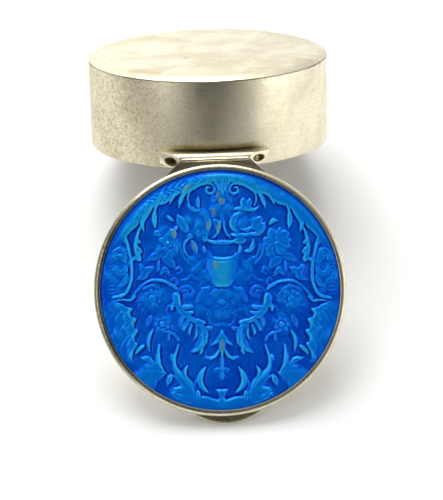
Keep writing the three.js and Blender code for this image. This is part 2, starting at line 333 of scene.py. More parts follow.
def silver(name, matrix, brushing, tarnish, roughness, seam=None, aged=None, grime=None, bore=False,
           stains=(), film=None, rim=None):
    """Old silver: fine brushing along one way, cloudy yellowish tarnish, pits and scratches.
    The brushing scales the place, small along the lines. The seam is a height where dirt stays,
    and rim a radius just outside which the silver is darkened: painted shade along the bezel's foot, with some
    dirt in the joint. Aged is a range of x over which specks and close pits gather, and film one of an olive veil,
    with its strength. Grime lies beside the hinge: its half width, height and reach. The bore for the pin is black
    with old oil, spilt a little at its left
    end. Stains are brown marks: their x, y, reach and strength."""
    finish = Finish(name, Metallic=1.0)
    place = finish.place(matrix)
    x, y, z = finish.split(place)
    lines = finish.noise(finish.stretched(place, brushing), 1.0, 4.0, 0.62)
    fine = finish.noise(finish.stretched(place, [FINER_BRUSHING * b for b in brushing]), 1.0, 2.0)
    clouds = finish.noise(place, CLOUD_SCALE, 5.0, 0.6, 0.4)
    mottle = finish.noise(place, MOTTLE_SCALE, 4.0, 0.6)
    speckle = finish.noise(place, SPECKLE_SCALE, 3.0, 0.7)
    sparse = finish.ramp(finish.noise(place, 0.35, 1.0), 0.52, 0.62)
    pitted = finish.ramp(finish.cells(place, PIT_SCALE), 0.085, 0.03) * sparse
    scratch_place = finish.stretched(place, SCRATCH_STRETCH, SCRATCH_TURN)
    scratches = finish.ramp(finish.noise(scratch_place, 1.0, 2.0), 0.69, 0.74)
    dull = finish.ramp(clouds, 0.36, 0.68) * tarnish + finish.ramp(mottle, 0.5, 0.8) * (0.4 * tarnish)
    specks = None
    if aged:
        start, full = aged
        age = finish.ramp(x, start, full)
        dull = dull + age * finish.ramp(speckle * 0.6 + mottle * 0.4, 0.35, 0.62) * 0.75
        deep_age = finish.ramp(x, start - 6.0, full) + 0.25
        close_pits = finish.ramp(finish.cells(place, CLOSE_PIT_SCALE), 0.22, 0.08)
        pitted = pitted + close_pits * deep_age * finish.ramp(mottle, 0.44, 0.54)
        coarse = finish.noise(place, COARSE_SPECK_SCALE, 4.0, 0.75)
        specks = finish.ramp(speckle, 0.55, 0.68) * deep_age + finish.ramp(coarse, 0.54, 0.66) * age * 0.8

    colour = finish.mix(dull, SILVER_BRIGHT, SILVER_WARM)
    colour = finish.mix(finish.ramp(lines, 0.35, 0.75) * 0.35, colour, SILVER_DULL)
    colour = finish.mix(finish.ramp(speckle, 0.52, 0.70) * 0.45, colour, SILVER_DULL)
    if specks:
        colour = finish.mix(specks * 0.7, colour, SPECK)
    if film:
        low, high, strength = film
        veil = finish.ramp(x, low, high) * finish.ramp(mottle, 0.25, 0.55, 0.6, 1.0)
        colour = finish.mix(veil * strength, colour, FILM)
    for spot_x, spot_y, reach, strength in stains:
        apart = (x - spot_x) ** 2.0 + (y - spot_y) ** 2.0 + (mottle - 0.5) * (1.6 * reach * reach)
        colour = finish.mix(finish.ramp(apart, reach * reach, 0.0) * strength, colour, STAIN)
    dirt_and_rim_shade = pitted * 0.8
    if seam:
        dirt_and_rim_shade = dirt_and_rim_shade + finish.near(z, seam, SEAM_DIRT) * finish.ramp(clouds, 0.40, 0.60, 0.25, 0.9)
    # Painted shade, with some dirt in the joint: the silver just outside the lid's rim is darkened along the
    # bezel's foot
    if rim:
        outer, inner = RIM_SHADE_AND_DIRT
        dirt_and_rim_shade = dirt_and_rim_shade + finish.ramp(x * x + y * y, (rim + outer) ** 2, (rim + inner) ** 2) * 0.9
    if bore:
        square = (y - PIN_Y) ** 2.0 + (z - PIN_Z) ** 2.0
        dirt_and_rim_shade = dirt_and_rim_shade + finish.ramp(square, *BORE_OIL)
        spill = (y - PIN_Y - SPILL_SHIFT[0]) ** 2.0 + (z - PIN_Z - SPILL_SHIFT[1]) ** 2.0
        dirt_and_rim_shade = dirt_and_rim_shade + finish.ramp(spill, *SPILT_OIL) * finish.ramp(x, *SPILL_END)
    crust = None
    if grime:
        wide, height, reach = grime
        uneven = finish.noise(finish.stretched(place, (0.32, 0.0, 0.0)), 1.0, 2.0, 0.6)
        along = finish.ramp(finish.size(x), wide, wide - 2.6) * finish.ramp(y, *HINGE_SIDE)
        wavy = z + (uneven - 0.5) * 0.22
        halo = finish.near(wavy + (mottle - 0.5) * 0.5, height, reach) * along
        colour = finish.mix(halo * finish.ramp(uneven, 0.25, 0.5, 0.35, 0.9), colour, OLIVE)
        line = finish.near(wavy + (speckle - 0.5) * 0.10, height + reach * 0.5, reach * 0.58) * along
        crust = line * finish.ramp(uneven, 0.25, 0.45, 0.75, 1.0)
    colour = finish.mix(dirt_and_rim_shade, colour, TARNISH)
    if crust:
        colour = finish.mix(crust, colour, GRIME)
    gloss = lines * 0.22 + dull * 0.16 + dirt_and_rim_shade * 0.3 + (roughness - 0.11)
    shape = lines * 0.5 + fine * 0.25 + speckle * 0.2 - scratches * 0.9 - pitted * 2.5
    return finish.surface(Base_Color=colour, Roughness=gloss, Normal=finish.bump(shape, SILVER_BUMP))


def enamel():
    """Translucent blue enamel over chased relief: azure where the metal is high and the enamel
    thin, deep blue where it pools in the grooves, which also paints shade beside the forms and in their hollows, a
    painted highlight on the forms' inner shoulders and high places, brighter where painted light falls from the
    upper left and on the urn, worn to yellow-green on a few high spots."""
    finish = Finish("blue_enamel", Coat_Roughness=0.12, Coat_IOR=1.35, IOR=1.3, Specular_IOR_Level=0.10)
    place = finish.place(LID)
    height = finish.attribute("relief")
    groove_and_shade = finish.attribute("groove_and_shade")
    shoulder = finish.attribute("shoulder")
    wear = finish.attribute("wear")
    # The light attribute is painted light: brighter towards the upper left and on the urn
    light = finish.attribute("light")
    punch = finish.attribute("punch")
    grain = finish.noise(place, GRAIN_SCALE, 3.0, 0.7)
    flecks = finish.noise(place, FLECK_SCALE, 4.0, 0.7)
    blotches = finish.noise(place, BLOTCH_SCALE, 4.0, 0.65)
    shades = finish.noise(place, SHADE_SCALE, 3.0)
    stipple = finish.cells(place, STIPPLE_SCALE)
    level = height + (grain - 0.5) * 0.45 + (blotches - 0.5) * 0.5 + (flecks - 0.5) * 0.7
    colour = finish.mix(finish.ramp(shades, 0.40, 0.62), GROUND_BLUE, VIOLET_BLUE)
    colour = finish.mix(finish.ramp(level, 0.05, 0.75), colour, AZURE)
    # Deep blue where the enamel pools in the grooves: partly the thicker enamel, partly painted shade along the
    # inner sides of the forms and in their hollows
    colour = finish.mix(finish.ramp(groove_and_shade + (grain - 0.5) * 0.15, 0.04, 0.5) * 0.85, colour, DEEP_BLUE)
    # Painted highlight: pale blue on the forms' inner shoulders and high places, scaled by the painted light; pale
    # dots of the stippled ground are added
    painted_highlight_and_punch_dots = finish.ramp(shoulder + (grain - 0.5) * 0.25, 0.16, 0.60) * light
    painted_highlight_and_punch_dots = painted_highlight_and_punch_dots + finish.ramp(level * light, 0.60, 1.10) * 0.7
    painted_highlight_and_punch_dots = painted_highlight_and_punch_dots + finish.ramp(stipple, 0.22, 0.08) * punch * 0.6
    colour = finish.mix(painted_highlight_and_punch_dots, colour, PALE_BLUE)
    worn = finish.ramp(wear * (flecks * 1.3 + grain * 1.1 - 0.2), 0.30, 0.70)
    colour = finish.mix(worn * 0.75, colour, WORN_ENAMEL)
    shape = grain * 0.35 + flecks * 0.5 - stipple * punch * 0.8
    return finish.surface(
        Base_Color=colour, Metallic=0.5 - worn * 0.3, Roughness=0.36 + grain * 0.12,
        Coat_Weight=0.25 - worn * 0.2, Normal=finish.bump(shape, ENAMEL_BUMP))


# Meshes
def arc(centre, radius, start, end, steps=ARC_STEPS):
    """Points of a round corner, from one angle to another in degrees."""
    turns = [math.radians(start + (end - start) * i / steps) for i in range(steps + 1)]
    return [(centre[0] + radius * math.cos(t), centre[1] + radius * math.sin(t)) for t in turns]


def turned(profile, closed=True, start=0.0, sweep=2 * math.pi):
    """A profile of (radius, height) points, spun about the Z axis."""
    mesh = bmesh.new()
    points = [mesh.verts.new((r * math.cos(start), r * math.sin(start), z)) for r, z in profile]
    ends = points[1:] + points[:1] if closed else points[1:]
    edges = [mesh.edges.new(pair) for pair in zip(points, ends)]
    full = sweep >= 2 * math.pi
    steps = max(LEAST_SPIN_STEPS, round(SPIN_STEPS * sweep / (2 * math.pi)))
    bmesh.ops.spin(mesh, geom=points + edges, cent=(0, 0, 0), axis=(0, 0, 1), angle=sweep,
                   steps=steps, use_merge=full)
    if not full:
        bmesh.ops.holes_fill(mesh, edges=[e for e in mesh.edges if e.is_boundary])
    bmesh.ops.remove_doubles(mesh, verts=mesh.verts, dist=SPIN_MERGE)
    bmesh.ops.recalc_face_normals(mesh, faces=mesh.faces)
    return mesh


def edges_between(mesh, angle):
    """Edges whose two faces meet at more than an angle."""
    return [e for e in mesh.edges if len(e.link_faces) == 2 and e.calc_face_angle() > angle]


def eased(mesh, edges, width):
    """Rounds edges off by a width."""
    bmesh.ops.bevel(mesh, geom=edges, offset=width, offset_type="OFFSET", segments=EDGE_SEGMENTS,
                    profile=0.5, affect="EDGES", clamp_overlap=True, material=-1)


def node_copy(node, matrix, edge=0.0):
    """A merged copy of a CAD node in its own frame, with its sharp edges eased."""
    mesh = bmesh.new()
    mesh.from_mesh(frame["nodes"][node].data)
    bmesh.ops.transform(mesh, matrix=matrix.inverted(), verts=mesh.verts)
    bmesh.ops.remove_doubles(mesh, verts=mesh.verts, dist=NODE_MERGE)
    bmesh.ops.dissolve_limit(mesh, angle_limit=FLAT_ANGLE, verts=mesh.verts, edges=mesh.edges)
    if edge:
        eased(mesh, edges_between(mesh, SHARP_ANGLE), edge)
    bmesh.ops.recalc_face_normals(mesh, faces=mesh.faces)
    return mesh


def flat_feet(mesh, matrix):
    """Cuts off what would stand under the floor, as wear has."""
    floor = matrix.inverted()
    point = floor @ Vector((0, 0, 0))
    normal = (floor.to_3x3() @ Vector((0, 0, 1))).normalized()
    geometry = mesh.verts[:] + mesh.edges[:] + mesh.faces[:]
    cut = bmesh.ops.bisect_plane(mesh, geom=geometry, dist=CUT_DISTANCE, plane_co=point,
                                 plane_no=normal, clear_inner=True)
    edges = [e for e in cut["geom_cut"] if isinstance(e, bmesh.types.BMEdge)]
    bmesh.ops.holes_fill(mesh, edges=edges)
    bmesh.ops.recalc_face_normals(mesh, faces=mesh.faces)


def piece(name, mesh, body, slot, material, *nodes, smooth=SMOOTH_DEGREES):
    """A finished piece: its mesh carried into the row frame, its body and CAD nodes; the slot is not used."""
    bmesh.ops.transform(mesh, matrix=PLACES[body], verts=mesh.verts)
    data = bpy.data.meshes.new(name)
    mesh.to_mesh(data)
    mesh.free()
    data.shade_smooth()
    data.set_sharp_from_angle(angle=math.radians(smooth))
    data.materials.append(material)
    thing = bpy.data.objects.new(name, data)
    bpy.context.scene.collection.objects.link(thing)
    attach(thing, body)
    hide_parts(*nodes)


# The box
def wall_band():
    """The side of the box, open at both ends."""
    outer = arc((BOX_RADIUS - RIM_EDGE, -RIM_EDGE), RIM_EDGE, 0, 90)
    inner = arc((INSIDE_RADIUS + RIM_EDGE, -RIM_EDGE), RIM_EDGE, 90, 180)
    low = arc((BOX_RADIUS - SEAM_EDGE, SEAM_EDGE - WALL_HEIGHT), SEAM_EDGE, -90, 0, SEAM_STEPS)
    mesh = turned([(INSIDE_RADIUS, -WALL_HEIGHT), *low, *outer, *inner])
    flat_feet(mesh, BOX)
    return mesh


def base_plate():
    """The base, flat within and sloping gently at its edge to meet the wall."""
    brow = arc((BOX_RADIUS - SEAM_EDGE, BASE_TOP - SEAM_EDGE), SEAM_EDGE, 0, 90, SEAM_STEPS)
    return turned([*BASE_FACE, *brow, (0, BASE_TOP)], closed=False)


# The lid
def lid_plate():
    """The plate under the enamel, rounded below at its edge."""
    low = arc((BOX_RADIUS - LID_EDGE, LID_UNDERSIDE + LID_EDGE), LID_EDGE, -90, 0)
    return turned([(0, LID_UNDERSIDE), *low, (BOX_RADIUS, LID_PLATE_TOP), (0, LID_PLATE_TOP)],
                  closed=False)


def lid_flange():
    """The low ring under the lid, open on the hinge side so that it swings clear."""
    half_gap = math.acos(FLANGE_END_Y / FLANGE_INSIDE)
    lip = arc((FLANGE_OUTSIDE - LID_EDGE, LID_EDGE - FLANGE_DEPTH), LID_EDGE, -90, 0, FLANGE_STEPS)
    top = LID_UNDERSIDE + FLANGE_ROOT
    profile = [(FLANGE_INSIDE, -FLANGE_DEPTH), *lip, (FLANGE_OUTSIDE, top), (FLANGE_INSIDE, top)]
    return turned(profile, True, math.pi / 2 + half_gap, 2 * math.pi - 2 * half_gap)


def bezel_rim():
    """The rim round the enamel: a rounded crest beside it, falling away outwards."""
    seat = PLAQUE_RADIUS + SEAM_GAP
    lip = [(ENAMEL_RADIUS, height) for height in BEZEL_LIP]
    return turned([(seat, BEZEL_FOOT), (BOX_RADIUS, BEZEL_FOOT), *BEZEL_SHOULDER[::-1], *lip[::-1],
                   (seat, SEAT_TOP)])


def leaf_rib():
    """The half-round rib that stiffens the lid's hinge leaf, tapered at both ends."""
    mesh = bmesh.new()
    round_top = arc((RIB_Y, RIB_FOOT), RIB_RADIUS, 0, 180, RIB_STEPS - 1)
    section = [mesh.verts.new((-RIB_HALF, y, z)) for y, z in round_top]
    edges = [mesh.edges.new(pair) for pair in zip(section, section[1:] + section[:1])]
    run = bmesh.ops.extrude_edge_only(mesh, edges=edges)["geom"]
    far = [v for v in run if isinstance(v, bmesh.types.BMVert)]
    bmesh.ops.transform(mesh, matrix=Matrix.Translation((2 * RIB_HALF, 0, 0)), verts=far)
    bmesh.ops.holes_fill(mesh, edges=[e for e in mesh.edges if e.is_boundary])
    for vert in mesh.verts:
        inward = RIB_SLANT * (vert.co.y - RIB_Y)
        vert.co.x -= math.copysign(inward, vert.co.x)
    eased(mesh, edges_between(mesh, RIB_END_ANGLE), RIB_EDGE)
    bmesh.ops.recalc_face_normals(mesh, faces=mesh.faces)
    return mesh


def thumb_lip():
    """The rounded edge of the thumb piece, worn bright by use."""
    ring = arc((THUMB_RADIUS - LIP_RADIUS, LIP_LEVEL), LIP_RADIUS, 0, 360, LIP_STEPS)[:-1]
    mesh = turned(ring, True, -math.pi / 2 - THUMB_HALF_SWEEP, 2 * THUMB_HALF_SWEEP)
    place = Matrix.Rotation(THUMB_TURN, 4, "Z") @ Matrix.Translation((0, THUMB_MIDDLE, 0))
    bmesh.ops.transform(mesh, matrix=place, verts=mesh.verts)
    return mesh


# The enamel's ornament
def smooth_step(value, low, high):
    """0 below the low value, 1 above the high one, and smooth between them."""
    share = np.clip((value - low) / (high - low), 0, 1)
    return share * share * (3 - 2 * share)


def curve_through(points):
    """Close points on the smooth curve through the given ones, and their runs along it."""
    given = np.array(points, float)
    ends = np.vstack([2 * given[0] - given[1], given, 2 * given[-1] - given[-2]])
    t = np.linspace(0, 1, CURVE_STEPS, endpoint=False)[:, None]
    spans = []
    for a, b, c, d in zip(ends, ends[1:], ends[2:], ends[3:]):
        bend = (2 * a - 5 * b + 4 * c - d) * t**2 + (3 * b - a - 3 * c + d) * t**3
        spans.append(0.5 * (2 * b + (c - a) * t + bend))
    line = np.vstack([*spans, given[-1:]])
    run = np.concatenate([[0], np.cumsum(np.hypot(*np.diff(line, axis=0).T))])
    even = np.linspace(0, run[-1], max(FEWEST_POINTS, int(run[-1] / CURVE_SPACING)))
    line = np.column_stack([np.interp(even, run, line[:, 0]), np.interp(even, run, line[:, 1])])
    return line, even


# Which half of the plaque a form is on
BOTH = 0
RIGHT = 1
LEFT = -1

# How a stroke's curve is drawn, and how its section rises, leans and is creased
CURVE_STEPS = 16
CURVE_SPACING = 0.06
FEWEST_POINTS = 6
WIDENED = 1.4
THINNEST = 0.06
INNER_LEAN = 0.25
FULLNESS = 0.7
CREASE = 0.3
# How a stroke's width runs from its root to its tip
WIDTHS = {
    "tongue": lambda t: 0.12 + 0.88 * (1 - t) ** 1.3,
    "flame": lambda t: 0.10 + 0.90 * (1 - t) ** 1.8,
    "leaf": lambda t: np.sin(np.pi * np.clip(t, 0.02, 0.985) ** 0.85) ** 0.75,
    "petal": lambda t: np.sqrt(np.clip(1 - (1.7 * t - 0.7) ** 2, 0.02, 1)),
    "blade": lambda t: 0.35 + 0.65 * t,
    "stem": lambda t: np.full_like(t, 1.0),
    "scroll": lambda t: 1 - 0.45 * t,
    "crescent": lambda t: np.sin(np.pi * np.clip(t, 0.03, 0.97)) ** 0.6,
}


class Relief:
    """The height of the ornament over the plaque, from 0 at the ground to 1."""

    def __init__(self, x, y):
        self.x = x
        self.y = y
        self.height = np.zeros_like(x)
        self.wear = np.zeros_like(x)
        self.mass = np.zeros_like(x)
        self.punch = np.zeros_like(x)

    def half(self, side):
        """The distance to the right of the middle line: of both halves, or signed for one."""
        return self.x * side if side else np.abs(self.x)

    def raised(self, where, height):
        """Raises the ground to a height, where it isn't higher."""
        self.height[where] = np.maximum(self.height[where], height)

    def stroke(self, form, width, points, height=0.9, side=BOTH, vein=0.2):
        """A leaf, petal or stem along a curve, fullest towards the middle of the plaque, with
        a groove down it."""
        x = self.half(side)
        width *= WIDENED
        line, run = curve_through(points)
        low = line.min(axis=0) - width
        high = line.max(axis=0) + width
        near = (x > low[0]) & (x < high[0]) & (self.y > low[1]) & (self.y < high[1])
        dx = x[near][:, None] - line[:, 0]
        dy = self.y[near][:, None] - line[:, 1]
        apart = np.hypot(dx, dy)
        nearest = apart.argmin(axis=1)
        rows = np.arange(len(nearest))
        reach = np.maximum(width / 2 * WIDTHS[form](run[nearest] / run[-1]), THINNEST)
        offset = apart[rows, nearest] / reach
        outward = np.clip(dx[rows, nearest] / reach, -1, 1)
        dome = np.clip(1 - offset**2, 0, 1) ** FULLNESS * (1 - INNER_LEAN * outward)
        grooved = 1 - vein * np.exp(-((offset / CREASE) ** 2))
        self.raised(near, height * dome * grooved)

    def strokes(self, form, drawn, **how):
        """Strokes of one form, each given as its width and its points."""
        for width, *points in drawn:
            self.stroke(form, width, points, **how)

    def mound(self, centre, radius, height, squash):
        """A low round mass that forms stand on."""
        r = np.hypot(self.half(BOTH) - centre[0], (self.y - centre[1]) / squash) / radius
        share = 1 - smooth_step(r, 0.45, 1.0)
        self.height += height * share
        self.mass = np.maximum(self.mass, share)

    def rosette(self, centre, radius, petals, height, side=BOTH, turn=0.0):
        """A small flower seen from above: petals round a ring and a heart."""
        dx = self.half(side) - centre[0]
        dy = self.y - centre[1]
        r = np.hypot(dx, dy) / radius
        lobe = np.abs(np.cos(petals * (np.arctan2(dy, dx) + turn) / 2)) ** 0.5
        edge = 0.62 + 0.38 * lobe
        dome = np.sqrt(np.clip(1 - (r / edge) ** 2, 0, 1)) * (0.55 + 0.45 * lobe)
        dip = 1 - 0.6 * np.exp(-(((r - 0.42) / 0.10) ** 2))
        heart = np.exp(-((r / 0.22) ** 2)) * 0.9
        where = r < 1.05
        self.raised(where, height * np.maximum(dome * dip, heart)[where])

    def spot(self, centre, reach, slant=0.0):
        """A worn place, on one half only, longer one way than the other."""
        dx = self.x - centre[0]
        dy = self.y - centre[1]
        along = dx * math.sin(slant) + dy * math.cos(slant)
        across = dx * math.cos(slant) - dy * math.sin(slant)
        self.wear = np.maximum(self.wear, np.exp(-((across / reach[0]) ** 2) - (along / reach[1]) ** 2))

    def punched(self, centre, radius):
        """Ground that was stippled with a fine round punch."""
        r = np.hypot(self.x - centre[0], self.y - centre[1]) / radius
        share = np.exp(-(r**4)) * (1 - smooth_step(self.height, 0.3, 0.6))
        self.punch = np.maximum(self.punch, share)


def ground(relief):
    """A gently uneven ground, fuller round the urn, the flowers and the roots of the border."""
    x = relief.x
    y = relief.y
    waves = np.sin(0.9 * x + 1.3) * np.cos(1.1 * y)
    waves += 0.7 * np.sin(2.3 * y + 1.7 * x) * np.cos(2.9 * x - 1.1 * y)
    relief.height += 0.10 + 0.045 * waves
    for centre, radius, height, squash in [
        ((3.4, 9.4), 3.1, 0.24, 1.0), ((7.8, 6.6), 3.0, 0.20, 1.0), ((0, -1.9), 4.0, 0.22, 0.8),
        ((9.9, -1.2), 2.8, 0.18, 1.0), ((4.6, -3.9), 2.6, 0.16, 1.0), ((0, 12.2), 2.2, 0.18, 1.5),
        ((8.5, -4.8), 2.0, 0.16, 1.0), ((5.4, -14.6), 2.6, 0.26, 0.7), ((10.0, -11.8), 2.2, 0.26, 0.8),
        ((14.2, -6.0), 1.8, 0.20, 1.3), ((14.6, 3.0), 2.6, 0.20, 1.8), ((2.4, 3.6), 2.6, 0.14, 1.3),
    ]:
        relief.mound(centre, radius, height, squash)


# The spacing and height of the shallow chasing
CHASING_STEP = 0.62
CHASING = 0.09


def foliage(relief):
    """Small worn leaves between the drawn ones, too soft to tell apart, and shallow chasing."""
    x = np.abs(relief.x) + 0.25 * np.sin(0.7 * relief.y + 0.6 * relief.x)
    y = relief.y
    u = 2.3 * x + 1.1 * np.sin(1.5 * y + 0.4)
    v = 2.1 * y + 1.2 * np.sin(1.4 * x + 1.0)
    lobes = (0.5 + 0.5 * np.sin(u) * np.cos(v)) ** 2
    veins = 0.5 + 0.5 * np.cos(4.6 * (x * np.sin(0.5 * y) + y * np.cos(0.4 * x)))
    relief.height += relief.mass * (0.40 * lobes + 0.10 * veins * lobes)
    swirl = x * np.cos(0.55 * y) + y * np.sin(0.45 * x + 0.8)
    cuts = np.cos(2 * np.pi * swirl / CHASING_STEP) * np.cos(1.9 * x + 1.2 * np.sin(1.7 * y))
    relief.height += CHASING * cuts


# The border's inner edge, as degrees from the right and radius
BORDER_EDGE = (
    (-90, 15.7), (-82, 15.2), (-75, 15.4), (20, 15.9), (33, 15.3), (37, 15.0), (41, 15.2), (45, 15.4),
    (49, 15.2), (53, 15.0), (57, 14.6), (61, 14.7), (66, 14.9), (71, 14.5), (76, 14.9), (80, 15.2),
    (90, 15.5))
RIPPLES = 104


def border(relief):
    """The raised border of the upper half and of the foot, whose steep inner edge is cut in
    arches, with its crest near that edge, and a fine ripple at the upper left."""
    x = np.abs(relief.x)
    r = np.hypot(x, relief.y)
    angle = np.degrees(np.arctan2(relief.y, x))
    inner = np.interp(angle, *zip(*BORDER_EDGE))
    crest = smooth_step(r, inner - 0.12, inner + 0.22)
    upper = smooth_step(angle, -10, 10)
    outer = 1 - (0.15 + 0.30 * upper) * smooth_step(r, inner + 0.8, 16.7)
    outer -= (0.05 + 0.30 * upper) * smooth_step(r, 16.35, 16.9)
    present = smooth_step(angle, 14, 34) + 0.75 * smooth_step(-angle, 66, 80)
    swing = 3.2 * np.sin(r * 4.6 + 0.9 * relief.x)
    ripple = 0.5 + 0.5 * np.cos(RIPPLES * np.arctan2(relief.y, relief.x) + swing)
    rippled = np.exp(-(((relief.x + 6.8) ** 2 + (relief.y - 14.0) ** 2) / 24))
    band = crest * outer * present * (0.86 - 0.28 * ripple * rippled)
    relief.height = np.maximum(relief.height, band)


def tongues(relief):
    """The leaves that lick inwards from the border, slender above and broad-rooted below."""
    relief.strokes("tongue", [
        (1.15, (4.4, 15.2), (5.1, 14.4), (5.65, 13.3), (6.05, 12.5), (6.15, 11.7)),
        (0.80, (8.6, 13.5), (9.3, 12.4), (9.6, 11.3), (9.65, 10.0), (9.5, 8.8)),
    ], vein=0.1)
    relief.strokes("leaf", [
        (0.70, (9.6, 11.4), (9.7, 10.1), (9.5, 8.7)),
        (0.80, (9.7, 12.2), (10.7, 11.0), (11.35, 9.9), (11.4, 9.2), (11.1, 8.2)),
        (0.60, (5.5, 13.8), (5.9, 12.8), (6.15, 11.8)),
        (0.45, (6.6, 13.9), (7.15, 13.0), (7.5, 12.2)),
        (0.55, (4.9, 14.9), (5.4, 14.2), (5.8, 13.3)),
    ], height=1.0, vein=0.1)
    relief.strokes("blade", [(0.70, (11.4, 9.4), (11.95, 8.2), (12.25, 7.0), (12.3, 5.8), (11.9, 4.5))],
                   height=1.0, vein=0.15)
    relief.strokes("petal", [
        (0.5, (12.0, 6.0), (11.5, 5.2)),
        (0.5, (12.2, 5.0), (11.6, 4.1)),
        (0.4, (12.3, 4.7), (12.8, 4.2)),
        (0.4, (12.1, 7.2), (11.6, 6.6)),
    ])
    relief.strokes("flame", [
        (3.0, (10.9, -12.8), (9.7, -11.5), (9.15, -10.3), (9.15, -9.2), (8.95, -7.9)),
        (2.2, (5.0, -15.0), (5.0, -13.6), (5.9, -12.3), (6.7, -11.0), (6.75, -9.7), (6.2, -7.9)),
        (0.9, (4.3, -14.7), (4.6, -13.4), (5.1, -12.2), (5.3, -11.5), (4.9, -10.7)),
    ], height=0.85, vein=0.15)
    relief.strokes("crescent", [
        (0.50, (9.0, -8.0), (9.05, -9.2), (9.0, -10.3), (8.6, -11.1), (8.15, -11.7)),
        (0.50, (6.2, -8.0), (6.6, -9.0), (6.9, -9.8), (6.8, -10.8), (6.3, -11.8), (5.3, -12.8),
         (4.2, -14.2)),
        (0.80, (2.4, -11.0), (2.95, -11.9), (3.2, -12.9), (2.8, -13.8), (2.0, -14.5)),
        (0.45, (4.9, -10.8), (5.3, -11.5), (5.1, -12.4)),
    ], height=1.0, vein=0.0)
    relief.strokes("leaf", [
        (0.45, (6.85, -10.2), (7.2, -9.7), (7.1, -9.1)),
        (1.10, (8.0, -11.8), (9.2, -11.9), (10.4, -11.6)),
        (0.70, (9.6, -10.8), (10.4, -9.9), (11.6, -9.6)),
        (0.75, (7.2, -12.0), (7.5, -12.7), (7.8, -13.5)),
        (0.70, (3.3, -14.3), (3.45, -15.0), (3.5, -15.7)),
        (0.55, (11.0, -7.9), (11.8, -8.4), (12.4, -9.2)),
        (0.90, (4.4, -14.4), (5.6, -14.2), (6.9, -14.0)),
        (0.70, (5.2, -15.4), (6.3, -15.0), (7.2, -14.6)),
        (0.50, (9.8, -5.7), (10.3, -6.5), (10.5, -7.5), (10.3, -8.8)),
    ], vein=0.1)
    relief.strokes("stem", [
        (0.30, (7.7, -12.3), (7.0, -12.2), (6.4, -12.6)),
        (0.25, (3.1, -12.4), (3.7, -12.9), (3.9, -13.8)),
    ], height=0.6, vein=0)


def stems(relief):
    """The thin scrolling stems, volutes and ribbons."""
    relief.strokes("stem", [
        (0.28, (0.15, 15.0), (0.5, 14.3), (0.35, 13.3)),
        (0.26, (0.55, 15.3), (0.95, 14.4), (0.75, 13.6)),
        (0.30, (6.0, 6.6), (5.8, 5.6), (5.4, 4.7), (4.7, 3.8)),
        (0.26, (5.5, 6.4), (5.2, 5.4), (4.8, 4.6)),
        (0.28, (9, 4.1), (9.1, 2.8)),
        (0.30, (8.2, -0.6), (9.0, 0.25), (10.0, 0.6), (11.2, 0.1)),
        (0.30, (6.3, -6.8), (7.0, -6.2), (8.0, -5.9)),
        (0.26, (0.1, 11.0), (0.15, 9.8)),
        (0.26, (1.0, -9.3), (1.6, -9.6), (2.3, -9.6)),
        (0.26, (7.5, -6.0), (7.6, -7.1)),
        (0.28, (7.4, -6.0), (6.7, -6.4), (6.2, -7.1)),
    ], height=0.6, vein=0.0)
    relief.strokes("scroll", [
        (0.42, (2.5, 15.25), (1.5, 15.1), (1.1, 14.4), (1.5, 13.75), (2.2, 14.0), (2.2, 14.65),
         (1.75, 14.6)),
        (0.40, (2.3, 15.2), (3.8, 14.9), (4.7, 13.9), (4.9, 12.9), (4.6, 12.0)),
        (0.40, (6.5, 0.2), (7.3, 0.8), (8.4, 1.25), (10, 1.35), (11.1, 0.85), (12.0, 0.0), (12.8, -1.0)),
        (0.38, (0.25, 9.7), (0.35, 8.8), (0.7, 8.0), (1.3, 7.4)),
        (0.34, (12.4, -0.9), (13.1, -1.5), (14.2, -1.4), (15.4, -1.6)),
    ], height=0.75, vein=0.0)
    relief.strokes("scroll", [
        (0.36, (2.9, 1.6), (3.7, 1.5), (4.3, 2.1), (5.0, 1.5), (5.9, 1.35)),
        (0.36, (7.5, 0.7), (6.7, 0.65), (6.4, 1.2), (6.8, 1.65), (7.2, 1.3)),
        (0.42, (5.1, -1.0), (4.35, -0.7), (4.2, 0.0), (5.0, 0.5), (6.1, -0.05), (6.55, -1.0), (6.6, -1.8)),
        (0.30, (5.6, -0.2), (5.0, -0.1), (4.9, -0.6), (5.4, -0.75)),
        (0.34, (7.1, -2.2), (7.7, -2.4), (8.0, -3.0)),
        (0.32, (0.2, -4.9), (0.9, -5.1), (1.6, -4.7), (1.8, -4.0)),
        (0.34, (6.6, 2.9), (6.0, 3.2), (5.8, 2.6), (6.3, 2.3)),
    ], height=0.42, vein=0.0)


